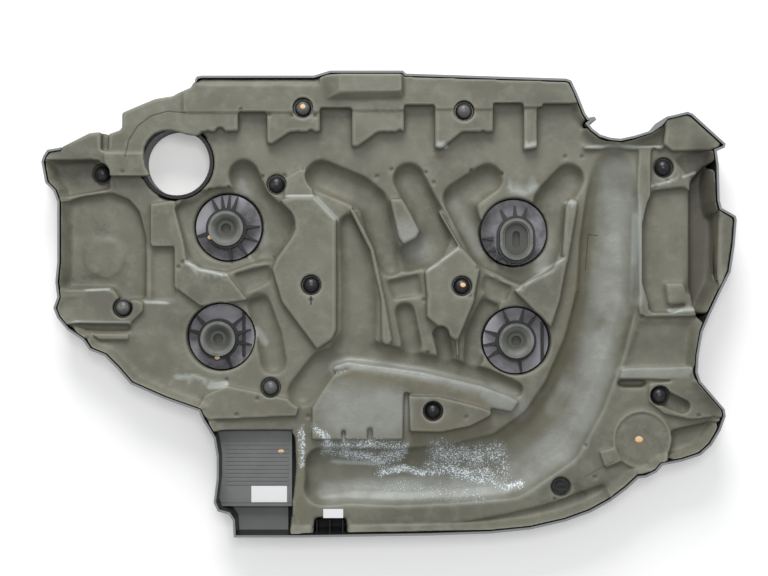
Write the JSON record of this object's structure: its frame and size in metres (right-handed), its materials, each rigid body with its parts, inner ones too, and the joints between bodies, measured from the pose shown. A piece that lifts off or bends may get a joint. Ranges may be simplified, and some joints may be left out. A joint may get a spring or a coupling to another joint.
{
  "type": "engine cover",
  "caption": "Moulded engine cover seen from its engine side, with a foam liner in deep relief, push-on rubber mounts and a filler opening.",
  "frame": {"origin": "centre of the bounding box at the outer face, which the cover lies on", "axes": "+Z out of the engine side, +X along the length, +Y along the width towards the long straight rim"},
  "size_m": [0.694, 0.466, 0.054],
  "materials": {
    "shell": "fine grained black plastic with dust",
    "foam": "moulded olive grey polyurethane foam with a soft skin",
    "rubber": "dusty olive grey rubber",
    "cap": "glossy black",
    "label": "blank white paper"
  },
  "bodies": {
    "root": {"cover_shell": "shell", "foam_liner": "foam", "mount_upper_left": "rubber", "mount_lower_left": "rubber", "mount_slotted": "rubber", "mount_lower_right": "rubber", "cap_1": "cap", "cap_2": "cap", "cap_3": "cap", "cap_4": "cap", "cap_5": "cap", "cap_6": "cap", "cap_7": "cap", "cap_8": "cap", "cap_9": "cap", "cap_10": "cap", "cap_11": "cap", "retaining_stud": "cap", "label_large": "label", "label_small": "label"}
  },
  "joints": []
}
